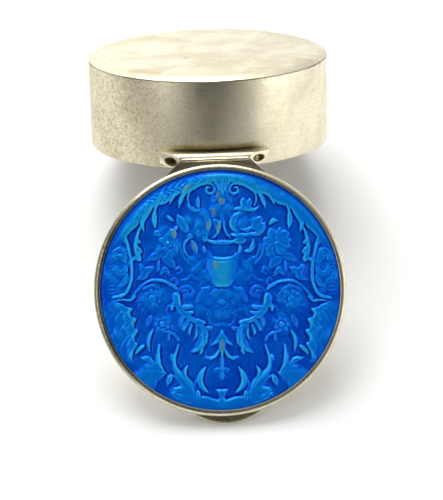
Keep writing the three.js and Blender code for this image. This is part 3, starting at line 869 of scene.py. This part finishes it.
def leaves(relief):
    """The small leaves and buds of the middle and lower field."""
    relief.strokes("petal", [
        (1.0, (4.6, 4.4), (4.0, 3.9), (3.3, 3.3)),
        (0.7, (0.0, -11.6), (0.05, -12.7)),
        (0.9, (0.3, -0.5), (0.9, -1.2)),
        (0.7, (1.9, -3.5), (1.8, -2.8)),
        (0.6, (2.3, -2.9), (2.9, -2.8)),
        (0.6, (0.9, -2.2), (0.4, -2.7)),
        (0.5, (1.6, -1.6), (1.9, -2.2)),
    ], height=0.55)
    relief.strokes("leaf", [
        (0.9, (0.3, 12.1), (1.1, 11.7), (1.9, 11.3)),
        (0.6, (0.5, 11.4), (1.0, 10.9), (1.3, 10.2)),
        (1.1, (8.5, 4.6), (7.6, 4.1), (6.7, 3.1)),
        (0.9, (8.3, 5.0), (9.5, 4.8), (10.6, 4.2)),
        (0.9, (9.7, 3.2), (10.8, 2.6), (11.1, 1.9), (12.1, 1.5)),
        (0.6, (8.8, 2.2), (8.1, 2.9), (7.4, 2.0)),
        (0.7, (2.6, 0.1), (3.0, -0.8), (3.6, -1.8)),
        (0.6, (10.0, -3.6), (10.4, -4.4), (10.6, -5.3)),
        (0.5, (1.3, -5.3), (1.9, -5.5), (2.6, -5.4)),
        (0.8, (5.5, -3.5), (5.75, -4.5), (5.6, -5.8)),
        (0.6, (0.05, -11.2), (0.6, -11.4), (1.1, -11.3)),
        (0.6, (3.0, 0.2), (2.3, 0.0), (1.7, 0.5)),
        (0.7, (11.6, 3.6), (11.2, 2.9), (10.4, 2.4)),
    ], height=0.62, vein=0.3)


def flowers(relief):
    """The rose on the right, the buds on the left and the rosettes of both halves."""
    relief.rosette((7.7, 6.7), 0.8, 0, 0.95)
    relief.rosette((9.9, -1.3), 1.6, 9, 0.85)
    relief.rosette((9.8, -2.0), 0.5, 0, 1.0)
    relief.rosette((8.5, -4.9), 1.25, 7, 0.95)
    relief.strokes("petal", [
        (1.1, (7.2, 7.3), (6.9, 8.7)), (1.3, (8.1, 7.4), (9.4, 8.2)), (1.1, (8.3, 6.8), (9.6, 6.3)),
        (1.0, (7.3, 6.4), (6.4, 5.5)), (0.9, (7.9, 6.2), (8.4, 5.2)), (0.8, (7.0, 7.0), (5.9, 7.2)),
        (0.6, (8.0, 7.7), (8.3, 8.8)), (0.6, (8.5, 7.0), (9.8, 7.2)),
    ], height=0.9, side=RIGHT, vein=0.35)
    relief.strokes("petal", [
        (1.0, (3.2, 11.8), (3.0, 13.1)), (0.7, (3.8, 11.9), (4.0, 13.0)), (1.0, (4.5, 9.0), (5.6, 10.4)),
        (0.9, (5.0, 8.6), (6.0, 9.4)), (0.9, (2.0, 7.0), (3.4, 7.1)),
    ], side=RIGHT, vein=0.3)
    relief.strokes("crescent", [
        (0.90, (2.6, 10.9), (1.85, 10.4), (1.5, 9.6), (1.6, 8.9), (2.1, 8.3)),
        (0.55, (1.1, 7.9), (2.4, 7.75), (3.9, 7.95)),
        (0.60, (3.9, 8.0), (5.2, 8.1), (5.9, 8.8), (6.1, 9.6)),
        (0.45, (2.6, 8.7), (3.6, 8.6), (4.4, 9.1)),
        (0.60, (3.2, 5.5), (4.0, 5.7), (4.4, 6.5), (4.4, 7.2)),
        (0.60, (1.7, 11.6), (3.2, 11.6), (4.6, 11.5), (5.2, 11.9)),
        (0.55, (6.7, 9.3), (7.3, 9.9), (7.9, 9.9)),
        (0.45, (2.3, 5.1), (2.6, 6.0), (2.5, 6.5)),
    ], side=RIGHT, vein=0.1)
    relief.rosette((3.4, 9.5), 2.3, 5, 0.55, RIGHT, 0.6)
    relief.rosette((3.2, 9.8), 0.85, 5, 0.75, RIGHT)
    relief.strokes("leaf", [
        (1.25, (6.3, 10.6), (5.7, 9.5), (4.8, 8.1)), (0.40, (7.8, 10.5), (7.3, 10.1), (6.8, 9.8)),
        (0.55, (3.4, 13.2), (3.5, 12.4), (3.3, 11.5)),
        (0.50, (5.0, 12.2), (4.4, 11.6), (3.6, 11.3), (3.0, 11.5)),
        (0.75, (2.4, 10.6), (1.9, 9.5), (2.1, 8.2)), (0.95, (3.7, 8.0), (2.9, 8.2)),
        (0.80, (2.7, 7.4), (2.0, 7.1)), (0.60, (4.9, 7.8), (4.3, 7.4)), (1.1, (7.3, 8.6), (6.8, 7.2)),
        (0.70, (9.6, 8.3), (8.8, 7.7)), (0.70, (8.9, 7.3), (7.6, 6.5)), (0.65, (6.7, 6.6), (6.5, 5.3)),
        (0.65, (8.3, 6.0), (7.7, 5.5)), (0.75, (4.3, 7.0), (3.9, 6.1), (3.6, 5.1)),
        (0.45, (2.6, 6.2), (2.5, 5.2)),
        (0.50, (6.4, 9.0), (6.9, 8.4)), (0.9, (1.2, 10.0), (0.6, 9.2), (0.7, 8.2)),
    ], height=0.9, side=LEFT, vein=0.35)
    relief.strokes("stem", [(0.28, (4.8, 7.3), (5.4, 6.5), (5.35, 5.5), (4.8, 4.7), (4.2, 4.2))],
                   height=0.75, side=LEFT, vein=0.0)


def acanthus(relief):
    """The two big leafy branches under the urn."""
    relief.strokes("scroll", [
        (1.0, (6.55, -1.0), (6.35, -2.0), (5.8, -3.0), (4.8, -3.9), (3.7, -4.5)),
    ], height=1.0, vein=0.15)
    relief.strokes("leaf", [
        (1.3, (3.9, -4.5), (3.1, -5.4), (2.75, -6.4), (2.95, -7.5), (3.6, -8.4), (4.4, -8.8)),
    ], height=0.8, vein=0.3)
    relief.strokes("crescent", [
        (0.40, (3.2, -5.0), (2.75, -5.9), (2.8, -7.2), (3.3, -8.2), (4.2, -8.75)),
        (0.35, (3.75, -5.2), (3.65, -6.3), (4.0, -7.1)),
    ], height=1.0, vein=0.0)
    relief.strokes("petal", [
        (0.60, (6.0, -2.5), (5.1, -2.5), (4.2, -2.3)),
        (0.50, (5.5, -3.2), (4.7, -3.3), (4.0, -3.1)),
        (0.60, (4.2, -4.3), (3.3, -4.5), (2.3, -4.7)),
        (0.45, (3.7, -5.1), (3.0, -5.1), (2.4, -5.3)),
        (0.50, (6.5, -1.6), (7.1, -2.3), (7.1, -3.0)),
        (0.45, (5.4, -3.7), (5.8, -4.4), (5.9, -5.2)),
        (0.45, (4.7, -4.2), (5.2, -4.9), (5.4, -5.8)),
        (0.40, (4.3, -5.0), (4.6, -5.7), (4.6, -6.4)),
        (0.45, (3.0, -6.4), (2.4, -6.9), (2.2, -7.6)),
        (0.45, (3.2, -7.9), (2.9, -8.6), (3.2, -9.1)),
    ], height=0.9, vein=0.1)


# Half the urn's width at heights in the plaque, before its level lines sag
URN_OUTLINE = (
    (0.1, 0.3), (0.3, 0.80), (0.7, 1.30), (1.2, 1.70), (2.0, 2.12), (2.9, 2.35), (3.6, 2.38), (4.1, 2.22),
    (4.4, 1.95), (4.7, 1.55), (5.3, 1.45), (6.0, 1.55), (6.6, 1.45), (7.0, 1.35))
URN_FOOT = 0.1
URN_TOP = 7.0
URN_SAG = 0.11
URN_HEIGHT = 1.10


def urn(relief):
    """The urn in the middle: a broad collar over a smooth round belly, a dish and a bead. It is
    seen from a little above, so its level lines sag."""
    x = np.abs(relief.x)
    y = relief.y
    level = y - URN_SAG * x**2 * smooth_step(y, 2.0, 4.5)
    within = (level > URN_FOOT) & (level < URN_TOP)
    half = np.where(within, np.interp(level, *zip(*URN_OUTLINE)), 0.01)
    dome = np.clip(1 - (x / half) ** 2, 0, 1) ** 0.6
    ends = smooth_step(y, 0.15, 0.6) * (1 - 0.5 * smooth_step(level, 6.4, 7.05))
    collar = 1 - 0.62 * smooth_step(level, 4.35, 4.7)
    rim = 1 - 0.25 * np.exp(-(((level - 4.15) / 0.12) ** 2))
    inside = x < half
    relief.raised(inside, (URN_HEIGHT * dome * ends * collar * rim)[inside])
    dish = [(-2.6, 7.25), (-1.3, 6.85), (0, 6.75), (1.3, 6.85), (2.6, 7.25)]
    relief.stroke("crescent", 0.55, dish, 0.8, RIGHT, vein=0.0)
    relief.rosette((0, -0.1), 0.42, 0, 0.9)


def bellflower(relief):
    """The drop of husks on the middle line under the urn."""
    for side in (RIGHT, LEFT):
        relief.stroke("leaf", 0.95, [(0, -5.8), (0, -7.6), (0, -9.4)], 0.9, side, vein=0.0)
    relief.strokes("crescent", [
        (0.45, (0.2, -6.2), (0.7, -7.2), (1.4, -7.8)),
        (0.45, (0.3, -8.2), (0.9, -9.3), (1.8, -9.9)),
    ], height=0.95, vein=0.0)
    relief.stroke("stem", 0.42, [(0, -8.6), (0, -12.4)], 0.85)


# Half the spool's width at heights in the plaque
SPOOL_OUTLINE = ((-16.4, 1.2), (-15.9, 0.9), (-15.2, 0.35), (-14.5, 0.7), (-14.1, 1.0))


def shell(relief):
    """The fan at the top, the pendant leaf under it and the spool at the foot."""
    relief.strokes("petal", [
        (0.45, (0.12, 13.7), (0.15, 15.2), (0.3, 16.5)),
        (0.45, (0.5, 14.2), (0.6, 15.3), (0.95, 16.4)),
        (0.45, (0.85, 15.0), (1.15, 15.7), (1.7, 16.3)),
    ], vein=0.1)
    relief.stroke("leaf", 1.1, [(0, 13.7), (0, 12.8), (0, 11.9)], 0.8)
    relief.stroke("leaf", 0.55, [(0.3, 13.5), (0.9, 13.1), (1.3, 12.4)], 0.7)
    half = np.interp(relief.y, *zip(*SPOOL_OUTLINE))
    x = np.abs(relief.x)
    spool = (relief.y > SPOOL_OUTLINE[0][0]) & (relief.y < SPOOL_OUTLINE[-1][0]) & (x < half)
    hollow = 1 - 0.6 * np.exp(-((relief.x / 0.2) ** 2) - ((relief.y + 14.9) / 0.7) ** 2)
    relief.raised(spool, (0.85 * np.sqrt(np.clip(1 - (x / half) ** 2, 0, 1)) * hollow)[spool])


OVAL_RIB_STEP = 0.55


def side_ovals(relief):
    """The cartouches at the two sides, leafy inside, with fine ribs towards the border."""
    edge = [(13.9, 7.6), (13.5, 6.6), (13.25, 5.5), (12.95, 4), (12.9, 2), (13.1, 0.8),
            (13.6, -0.3), (14.4, -0.9), (15.4, -1.1)]
    relief.stroke("stem", 0.42, edge, 0.85, vein=0.1)
    relief.stroke("stem", 0.3, [(13.6, 4.5), (13.9, 5.3), (14.6, 5.9), (15.4, 5.5)], 0.7, vein=0.0)
    relief.strokes("leaf", [
        (0.8, (14.8, 4.9), (14.1, 4.6), (13.6, 3.7)),
        (0.8, (13.5, 3.4), (14.0, 2.5), (15.1, 2.3)),
        (0.7, (13.4, 2.3), (13.9, 1.0), (14.8, 0.4)),
        (0.6, (13.6, 6.6), (14.0, 7.2), (14.6, 7.6)),
    ], height=0.8, vein=0.2)
    x = np.abs(relief.x)
    ribs = 0.5 + 0.5 * np.cos(2 * np.pi * relief.y / OVAL_RIB_STEP)
    inside = np.exp(-(((x - 15.5) / 0.7) ** 4) - ((relief.y - 2.4) / 3.6) ** 4)
    relief.height = np.maximum(relief.height, 0.55 * ribs * inside)


# The side leaf's inner edge, as degrees from the right and radius
SIDE_LEAF_EDGE = (
    (-40, 16.0), (-32, 13.9), (-25, 13.0), (-18, 12.7), (-12, 12.9), (-8, 13.6), (-5, 15.2))
LOBE_DEGREES = 7


def side_leaves(relief):
    """The broad leaf at each side under the cartouche: its inner edge is steep and lobed, and
    it fades outwards."""
    x = np.abs(relief.x)
    r = np.hypot(x, relief.y)
    angle = np.degrees(np.arctan2(relief.y, x))
    lobes = (0.5 + 0.5 * np.cos(2 * np.pi * (angle + 19) / LOBE_DEGREES)) ** 2
    inner = np.interp(angle, *zip(*SIDE_LEAF_EDGE))
    inner += 0.55 * (1 - lobes)
    crest = smooth_step(r, inner - 0.12, inner + 0.35)
    outer = 1 - 0.6 * smooth_step(r, inner + 0.5, 16.7)
    present = smooth_step(angle, -41, -36) * (1 - smooth_step(angle, -9, -4))
    veins = 0.5 + 0.5 * np.cos(2 * np.pi * (angle + 6 * (r - inner)) / LOBE_DEGREES)
    relief.height = np.maximum(relief.height, crest * outer * present * (0.95 - 0.2 * veins))
    relief.strokes("leaf", [
        (0.6, (14.3, -3.0), (13.2, -3.9), (12.5, -5.2)),
        (0.6, (14.2, -5.2), (13.2, -6.0), (12.6, -7.4)),
    ], height=1.0, vein=0.1)


# Worn spots: their middle, reach across and along, and slant
WORN_SPOTS = (
    ((-0.1, 12.7), (0.55, 0.6), 0.0), ((-1.3, 11.2), (0.35, 0.6), -0.3), ((-0.5, 9.0), (0.3, 0.8), 0.1),
    ((-6.9, 8.0), (0.4, 0.8), -0.3), ((-4.0, 6.2), (0.25, 0.5), 0.0), ((-0.9, 3.6), (0.4, 0.6), 0.0),
    ((0, -8.0), (0.28, 1.2), 0.0), ((-5.0, 14.6), (0.3, 0.8), 1.0), ((-2.0, 9.2), (0.3, 0.7), 0.0),
    ((-0.6, 13.6), (0.25, 0.6), 0.2))
# Stippled ground: its middle and radius
PUNCHED_SPOTS = (
    ((-3.4, 12.8), 2.3), ((9.0, -7.3), 1.2), ((3.2, 9.9), 0.8), ((5.2, -9.4), 0.9), ((-2.6, 9.4), 1.0))


def ornament(x, y):
    """The whole relief, with its worn and its stippled places."""
    relief = Relief(x, y)
    for draw in (ground, foliage, border, tongues, stems, leaves, flowers, acanthus, urn, bellflower,
                 shell, side_ovals, side_leaves):
        draw(relief)
    for centre, reach, slant in WORN_SPOTS:
        relief.spot(centre, reach, slant)
    for centre, radius in PUNCHED_SPOTS:
        relief.punched(centre, radius)
    return relief


# Depths and heights of the enamel, in millimetres, and how its hollows and ridges are found
GROUND_DEPTH = 0.08
RELIEF_HEIGHT = 0.40
GROOVE_DEPTH = 0.16
GROOVE_CELLS = 3
GROOVE_START = 0.12
SHOULDER_START = 0.1
LOWER_FIELD = -9.5
EDGE_DROP = 0.10
EDGE_DROP_WIDTH = 0.55
SHARPENING = 14
# The crease depth also deepens the painted shade in the hollows
CREASE_DEPTH = 2.2
RIDGE_GAIN = 1.1
URN_PAINTED_LIGHT = 0.16
# The ornament stands a little askew on the lid
PATTERN_TURN = 0.0385
PATTERN_SHIFT = (-0.21, 0.04)


def softened(field, times):
    """A field on the grid, averaged with its neighbours a number of times."""
    for _ in range(times):
        edged = np.pad(field, 1, mode="edge")
        field = (4 * field + edged[:-2, 1:-1] + edged[2:, 1:-1] + edged[1:-1, :-2] + edged[1:-1, 2:]) / 8
    return field


def beyond(x, y, field, cells):
    """What lies a few cells further out from the middle: sideways, and up or down."""
    beside = np.where(x > 0, np.roll(field, -cells, axis=1), np.roll(field, cells, axis=1))
    upright = np.where(y > LOWER_FIELD, np.roll(field, -cells, axis=0), np.roll(field, cells, axis=0))
    corner = np.where(y > LOWER_FIELD, np.roll(beside, -cells, axis=0), np.roll(beside, cells, axis=0))
    return np.maximum(beside, np.maximum(0.85 * corner, 0.7 * upright))


def grooves(x, y, height):
    """The hollows cut along the inner sides of the raised forms, also painted darker there as shade."""
    return softened(np.clip(beyond(x, y, height, GROOVE_CELLS) - height - GROOVE_START, 0, 1), 2)


def inner_edges(x, y, height):
    """The inner shoulders of the raised forms, where the enamel is thinnest and a painted highlight is laid."""
    within = -beyond(x, y, -height, -GROOVE_CELLS)
    return softened(np.clip(height - within - SHOULDER_START, 0, 1), 1)


def enamel_plaque():
    """A fine grid drawn to a disc, raised by the ornament, with a skirt and a closed underside."""
    mesh = bmesh.new()
    bmesh.ops.create_grid(mesh, x_segments=PLAQUE_CELLS, y_segments=PLAQUE_CELLS, size=1.0)
    mesh.verts.ensure_lookup_table()
    square = np.array([v.co[:2] for v in mesh.verts])
    order = np.lexsort((square[:, 0].round(5), square[:, 1].round(5)))
    side = PLAQUE_CELLS + 1
    u = square[order, 0].reshape(side, side)
    v = square[order, 1].reshape(side, side)
    x = PLAQUE_RADIUS * u * np.sqrt(1 - v**2 / 2)
    y = PLAQUE_RADIUS * v * np.sqrt(1 - u**2 / 2)
    turn = Matrix.Rotation(PATTERN_TURN, 2)
    relief = ornament(turn[0][0] * x + turn[0][1] * y + PATTERN_SHIFT[0],
                      turn[1][0] * x + turn[1][1] * y + PATTERN_SHIFT[1])
    height = softened(relief.height, 1)
    sharp = height - softened(height, SHARPENING)
    # Groove depth, also painted as shade: hollows beside the forms and in their creases are cut deeper and
    # coloured darker
    groove_and_shade = np.clip(grooves(x, y, height) - CREASE_DEPTH * sharp, 0, 1)
    shoulder = inner_edges(x, y, height)
    r = np.hypot(x, y)
    fall = EDGE_DROP * smooth_step(r, ENAMEL_RADIUS - EDGE_DROP_WIDTH, ENAMEL_RADIUS)
    z = ENAMEL_LEVEL - GROUND_DEPTH + RELIEF_HEIGHT * height - GROOVE_DEPTH * groove_and_shade - fall
    # Painted light: brighter towards the upper left and over the urn, as if lit from there
    light = 0.75 + 0.35 * smooth_step(-x * 0.6 + y, 2, 18)
    light += URN_PAINTED_LIGHT * np.exp(-(((x - 0.1) / 2.2) ** 4) - ((y - 2.4) / 2.5) ** 4)
    fields = {
        "relief": height + RIDGE_GAIN * sharp, "groove_and_shade": groove_and_shade, "shoulder": shoulder,
        "wear": relief.wear, "light": light, "punch": relief.punch}
    layers = [mesh.verts.layers.float.new(name) for name in fields]
    rows = np.column_stack([field.ravel() for field in fields.values()])
    spots = np.column_stack([x.ravel(), y.ravel(), z.ravel()])
    for place, index in enumerate(order):
        vert = mesh.verts[index]
        vert.co = spots[place]
        for layer, value in zip(layers, rows[place]):
            vert[layer] = value
    rim = [e for e in mesh.edges if e.is_boundary]
    skirt = bmesh.ops.extrude_edge_only(mesh, edges=rim)["geom"]
    for vert in skirt:
        if isinstance(vert, bmesh.types.BMVert):
            vert.co.z = BEZEL_FOOT
    bmesh.ops.holes_fill(mesh, edges=[e for e in mesh.edges if e.is_boundary])
    bmesh.ops.recalc_face_normals(mesh, faces=mesh.faces)
    return mesh


# How the brushing runs: around, straight across the base and the inside, along the hinge, and
# around the rim
ROUND_LINES = (0.35, 0.35, 16.0)
STRAIGHT_LINES = (0.35, 14.0, 0.35)
HINGE_LINES = (0.5, 12.0, 12.0)
RIM_LINES = (1.2, 1.2, 6.0)

# Where dirt, age, veils and brown marks lie, as the silver takes them
HINGE_GRIME = (7.6, -3.15, 0.75)
AGED_LEFT = (3.0, -15.0)
BASE_FILM = (-30.0, 30.0, 0.34)
RIM_FILM = (-9.0, -16.0, 1.0)
THUMB_FILM = (8.0, 0.0, 0.35)
LEAF_FILM = (-1.5, -6.5, 0.9)
BASE_STAINS = (
    (-10.6, 12.4, 2.0, 0.35), (-8.4, 14.2, 1.8, 0.3), (-3.5, 4.7, 0.45, 0.9), (6.5, 1.5, 3.0, 0.12))

band_silver = silver("brushed_silver_band", BOX, ROUND_LINES, 0.45, 0.30, seam=-WALL_HEIGHT,
                     aged=AGED_LEFT, grime=HINGE_GRIME)
base_silver = silver("brushed_silver_base", BOX, STRAIGHT_LINES, 0.75, 0.34, seam=-WALL_HEIGHT,
                     stains=BASE_STAINS, film=BASE_FILM)
lid_silver = silver("dull_silver_inside", LID, STRAIGHT_LINES, 0.5, 0.38)
rim_silver = silver("worn_silver_rim", LID, RIM_LINES, 0.5, 0.26, film=RIM_FILM)
lip_silver = silver("bright_silver_lip", LID, RIM_LINES, 0.0, 0.38)
thumb_silver = silver("worn_silver_thumb", LID, RIM_LINES, 0.5, 0.26, film=THUMB_FILM, rim=BOX_RADIUS)
hinge_silver = silver("hinge_silver_box", BOX, HINGE_LINES, 0.45, 0.28, bore=True)
leaf_silver = silver("hinge_silver_lid", LID, HINGE_LINES, 0.5, 0.28, film=LEAF_FILM, rim=BOX_RADIUS)
pin_metal = silver("dark_pin", BOX, HINGE_LINES, 1.0, 0.45)
channel = node_copy("hinge_bearer", BOX, HINGE_EDGE)
leaf = node_copy("lid_hinge_leaf", LID, HINGE_EDGE)

piece("box_band", wall_band(), "box", "silver", band_silver, "box_wall")
piece("box_base_plate", base_plate(), "box", "silver", base_silver, "box_base")
piece("hinge_channel", channel, "box", "silver", hinge_silver, "hinge_bearer")
piece("hinge_rod", node_copy("hinge_pin", BOX), "box", "pin", pin_metal, "hinge_pin")
piece("lid_underplate", lid_plate(), "lid", "inside_silver", lid_silver, "lid_plate")
piece("lid_flange", lid_flange(), "lid", "inside_silver", lid_silver, "lid_plate")
piece("bezel_rim", bezel_rim(), "lid", "silver", rim_silver, "lid_bezel")
piece("enamel_relief", enamel_plaque(), "lid", "enamel", enamel(), "enamel_plaque",
      smooth=RELIEF_SMOOTH_DEGREES)
piece("hinge_leaf", leaf, "lid", "silver", leaf_silver, "lid_hinge_leaf")
piece("hinge_leaf_rib", leaf_rib(), "lid", "silver", leaf_silver, "lid_hinge_leaf")
piece("thumb_crescent", node_copy("thumb_piece", LID), "lid", "silver", thumb_silver, "thumb_piece")
piece("thumb_lip", thumb_lip(), "lid", "silver", lip_silver, "thumb_piece")


# The floor, the lights and the camera, in metres
FLOOR_HALF = 6.0
FLOOR_WHITE = (0.97, 0.97, 0.965, 1.0)
LIGHT_TARGET = (0.0, 0.0, 0.015)
# Each softbox's place, size and power
SOFTBOXES = {
    "back_softbox": ((-0.10, 0.38, 0.45), (0.5, 0.5), 3.8),
    "left_softbox": ((-0.42, -0.26, 0.40), (0.3, 0.3), 0.48),
    "right_softbox": ((0.50, -0.14, 0.16), (0.5, 0.35), 0.65),
}
NEAREST_SEEN = 0.01

# The room: its light, how much of it is lost towards its dark front, and that front's direction
# and edge, then a dark stand below with its shift sideways, and the pale backdrop behind
WHITE = (1.0, 1.0, 1.0, 1.0)
ROOM_LIGHT = 0.42
FRONT_LOSS = 0.9
FRONT_SIDE = (0.0, -0.64, 0.77)
FRONT_EDGE = (0.80, 0.95)
STAND_LOSS = 0.6
STAND_SHIFT = 0.05
STAND_WIDTH = (0.22, 0.05)
STAND_EDGE = (-0.2, -0.6)
BACKDROP_LIGHT = 0.45
BACKDROP_EDGE = (0.25, 0.75)


def floor():
    """A plain white floor."""
    mesh = bmesh.new()
    bmesh.ops.create_grid(mesh, x_segments=1, y_segments=1, size=FLOOR_HALF)
    data = bpy.data.meshes.new("floor")
    mesh.to_mesh(data)
    mesh.free()
    paint = Finish("white_floor", Roughness=0.9, IOR=1.2, Emission_Strength=0.05)
    data.materials.append(paint.surface(Base_Color=FLOOR_WHITE, Emission_Color=FLOOR_WHITE))
    thing = bpy.data.objects.new("floor", data)
    bpy.context.scene.collection.objects.link(thing)


def softbox(name, place, size, power):
    """A square or oblong soft light, turned to the box."""
    lamp = bpy.data.lights.new(name, "AREA")
    lamp.shape = "RECTANGLE"
    lamp.size, lamp.size_y = size
    lamp.energy = power
    thing = bpy.data.objects.new(name, lamp)
    thing.location = place
    way = Vector(LIGHT_TARGET) - thing.location
    thing.rotation_euler = way.to_track_quat("-Z", "Y").to_euler()
    bpy.context.scene.collection.objects.link(thing)


def camera():
    """The camera at the photograph's viewing angle."""
    lens = bpy.data.cameras.new("camera")
    lens.lens = CAMERA_LENS
    lens.sensor_width = CAMERA_SENSOR
    lens.clip_start = NEAREST_SEEN
    thing = bpy.data.objects.new("camera", lens)
    thing.location = Vector(CAMERA_PLACE_MM) * MM
    thing.rotation_euler = [math.radians(turn) for turn in CAMERA_TURN_DEGREES]
    bpy.context.scene.collection.objects.link(thing)
    bpy.context.scene.camera = thing


def surroundings():
    """A dim room round the table, darkest in front and brighter behind."""
    world = bpy.data.worlds.new("studio")
    world.use_nodes = True
    room = Room(world.node_tree)
    way = room.node("ShaderNodeTexCoord")
    settings = {"operation": "DOT_PRODUCT"}
    toward = room.node("ShaderNodeVectorMath", settings, {0: way, 1: FRONT_SIDE}, 1)
    front = room.ramp(toward, *FRONT_EDGE) * FRONT_LOSS
    across, along, _ = room.split(way)
    stand = room.ramp(room.size(across + STAND_SHIFT), *STAND_WIDTH) * room.ramp(along, *STAND_EDGE)
    backdrop = room.ramp(along, *BACKDROP_EDGE) * BACKDROP_LIGHT
    light = (1.0 - front) * (1.0 - stand * STAND_LOSS) * ROOM_LIGHT + backdrop
    background = world.node_tree.nodes["Background"]
    background.inputs["Color"].default_value = WHITE
    room.feed(background.inputs["Strength"], light)
    bpy.context.scene.world = world
    bpy.context.scene.view_settings.view_transform = "Standard"


floor()
for light_name, light_settings in SOFTBOXES.items():
    softbox(light_name, *light_settings)
surroundings()
camera()
